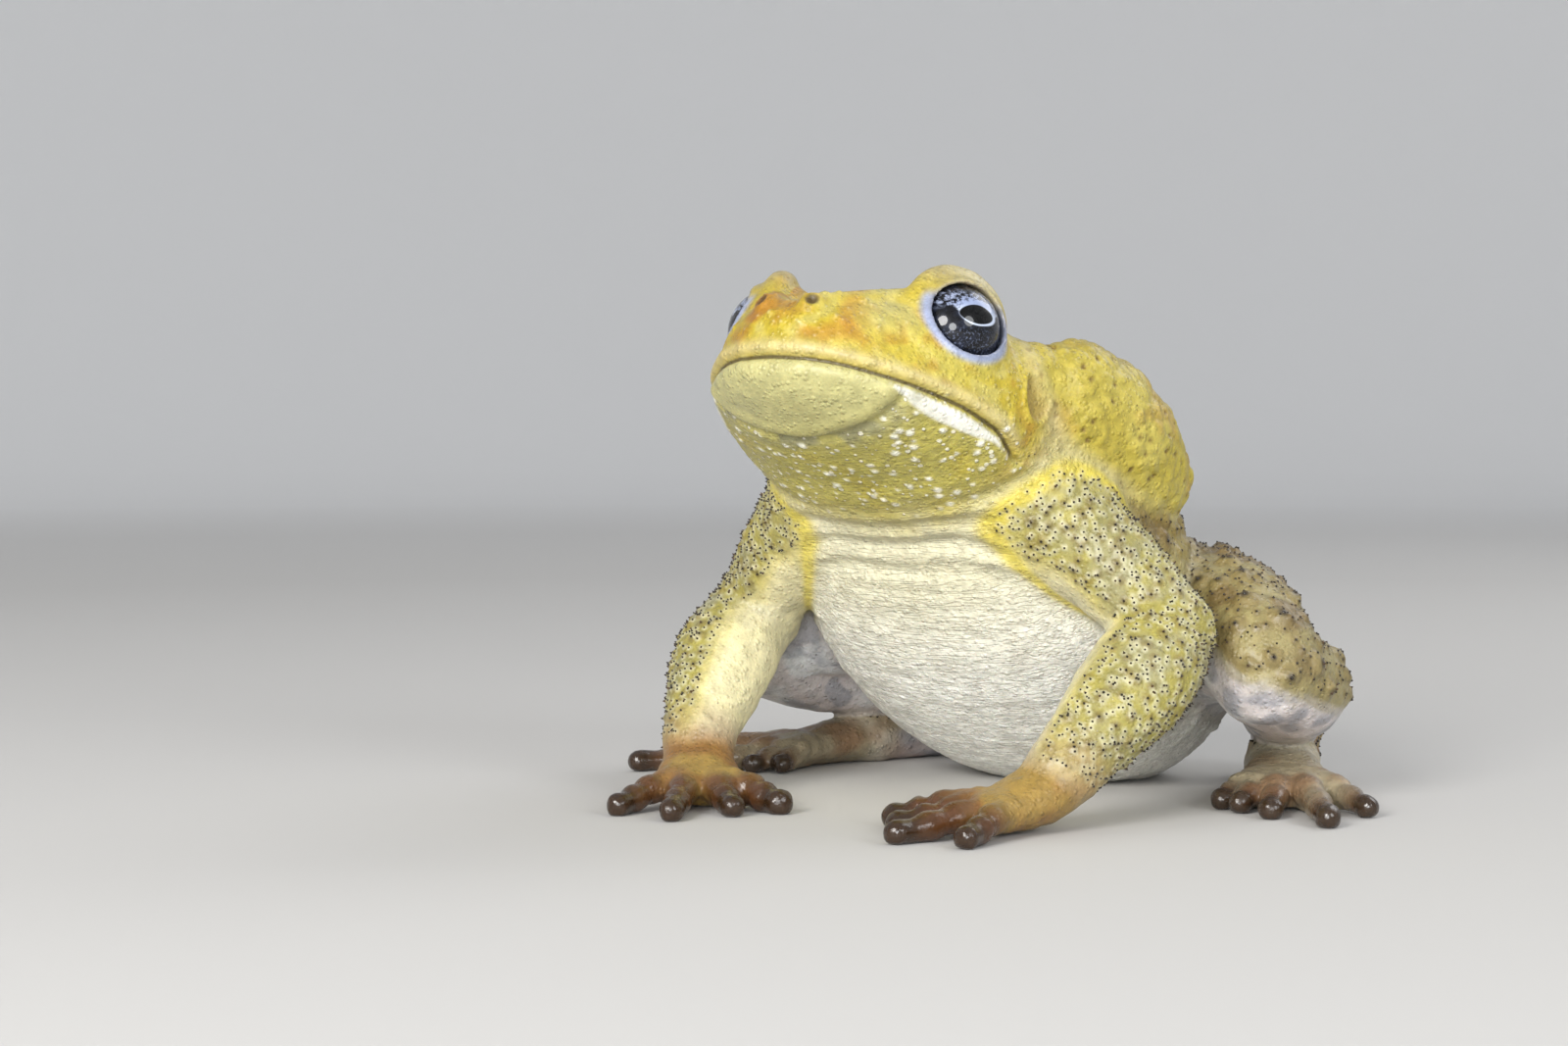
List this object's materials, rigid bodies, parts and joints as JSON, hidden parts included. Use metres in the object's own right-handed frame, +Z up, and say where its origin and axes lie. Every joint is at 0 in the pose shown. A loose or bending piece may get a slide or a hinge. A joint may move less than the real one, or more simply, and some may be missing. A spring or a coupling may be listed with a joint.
{
  "type": "cane toad",
  "caption": "Life-size cane toad sitting at rest: broad head with raised eyes, long gland over each shoulder, warty back, chest up on bent arms, folded hind legs.",
  "frame": {"origin": "on the floor, in the middle of the flat that the rump rests on", "axes": "-Y the way the toad faces, +X its left side, +Z up"},
  "size_m": [0.1231, 0.1081, 0.0771],
  "materials": {
    "skin_cream": "soft, slightly moist skin",
    "skin_yellow": "soft, slightly moist skin",
    "skin_olive": "dry, warty skin",
    "skin_brown": "smooth, glossy skin of the digits",
    "eye": "clear and wet"
  },
  "bodies": {
    "root": {"torso": "skin_cream", "head": "skin_yellow", "lower_jaw": "skin_yellow", "eye_left": "eye", "eye_right": "eye", "ear_left": "skin_olive", "ear_right": "skin_olive", "gland_left": "skin_yellow", "gland_right": "skin_yellow", "upper_arm_left": "skin_olive", "upper_arm_right": "skin_olive", "forearm_left": "skin_olive", "forearm_right": "skin_olive", "hand_left": "skin_brown", "hand_right": "skin_brown", "thigh_left": "skin_olive", "thigh_right": "skin_olive", "shank_left": "skin_olive", "shank_right": "skin_olive", "tarsus_left": "skin_olive", "tarsus_right": "skin_olive", "foot_left": "skin_brown", "foot_right": "skin_brown"}
  },
  "joints": []
}
